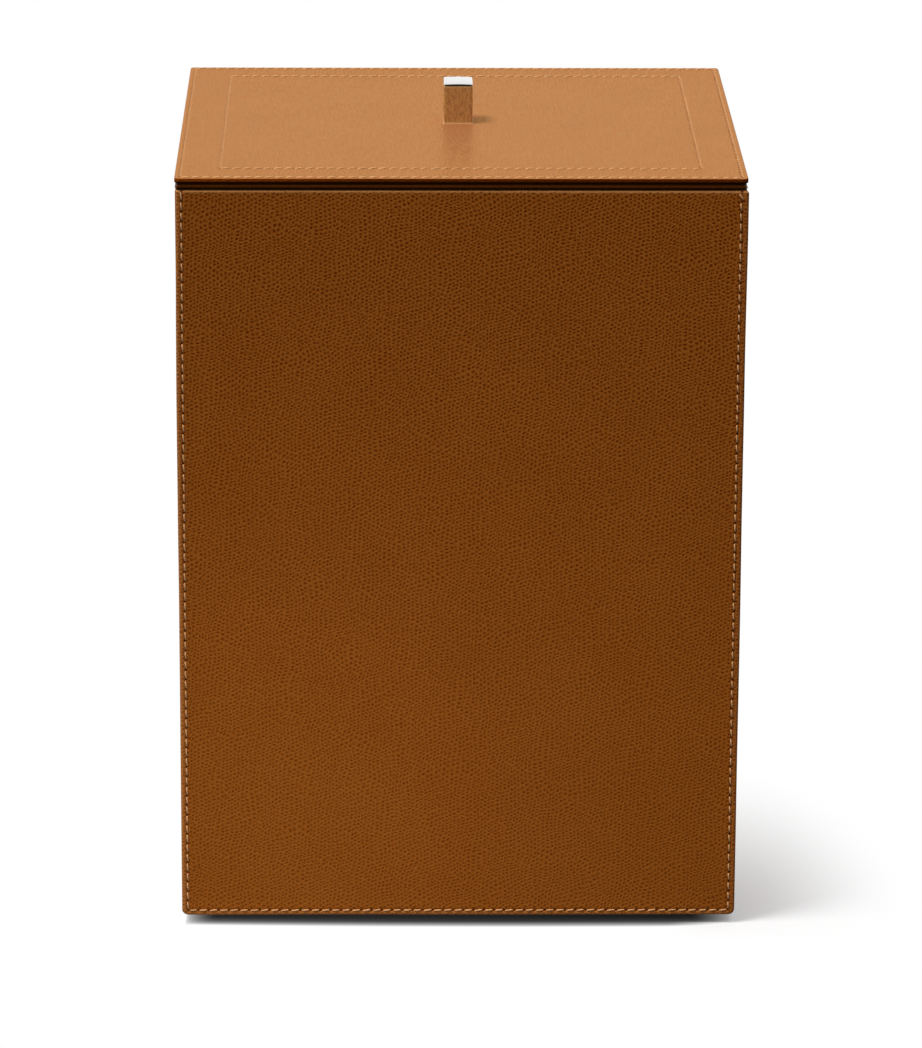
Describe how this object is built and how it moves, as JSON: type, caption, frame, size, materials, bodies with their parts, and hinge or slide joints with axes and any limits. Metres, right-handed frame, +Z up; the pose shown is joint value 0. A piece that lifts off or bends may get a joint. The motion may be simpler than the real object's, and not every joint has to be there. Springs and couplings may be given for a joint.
{
  "type": "lidded leather storage box",
  "caption": "Tall square storage box covered in stitched grained leather, suede lined, with a flat lift-off lid and a small leather knob capped in polished metal.",
  "frame": {"origin": "on the floor, under the middle of the box, at the undersides of the felt feet", "axes": "+Z up, the way the lid lifts off; -Y towards the front of the picture; +X to the right"},
  "size_m": [0.3008, 0.2788, 0.4385],
  "materials": {
    "body_leather": "tan pebble-grained cowhide, semi-matt, sewn with tan thread",
    "lid_leather": "tan pebble-grained cowhide with a soft sheen, sewn with tan thread",
    "knob_leather": "tan smooth-grained cowhide",
    "sewing_thread": "waxed tan sewing thread, about 1 mm thick",
    "suede_lining": "short-napped sand-brown microsuede",
    "base_felt": "dark brown pressed felt",
    "foot_felt": "near-black pressed felt",
    "carcass_board": "plain fibreboard",
    "leatherboard": "bonded leatherboard sheet",
    "knob_wood": "plain beech block",
    "polished_metal": "polished bright plate",
    "screw_steel": "zinc-plated steel"
  },
  "bodies": {
    "box": {"front_board": "carcass_board", "front_leather": "body_leather", "front_lining": "suede_lining", "right_board": "carcass_board", "right_leather": "body_leather", "right_lining": "suede_lining", "back_board": "carcass_board", "back_leather": "body_leather", "back_lining": "suede_lining", "left_board": "carcass_board", "left_leather": "body_leather", "left_lining": "suede_lining", "base_board": "carcass_board", "base_cover": "base_felt", "floor_lining": "suede_lining", "feet": "foot_felt"},
    "lid": {"lid_top_leather": "lid_leather", "lid_stiffener": "leatherboard", "lid_board": "carcass_board", "lid_edge_leather": "lid_leather", "lid_seat_lining": "base_felt", "plug_board": "carcass_board", "plug_lining": "suede_lining", "knob_core": "knob_wood", "knob_leather": "knob_leather", "knob_cap": "polished_metal", "knob_screw": "screw_steel", "knob_washer": "screw_steel"}
  },
  "joints": [
    {"name": "lid_lift", "type": "slide", "parent": "box", "child": "lid", "axis": [0, 0, 1], "range_m": [0, 0.25]}
  ]
}
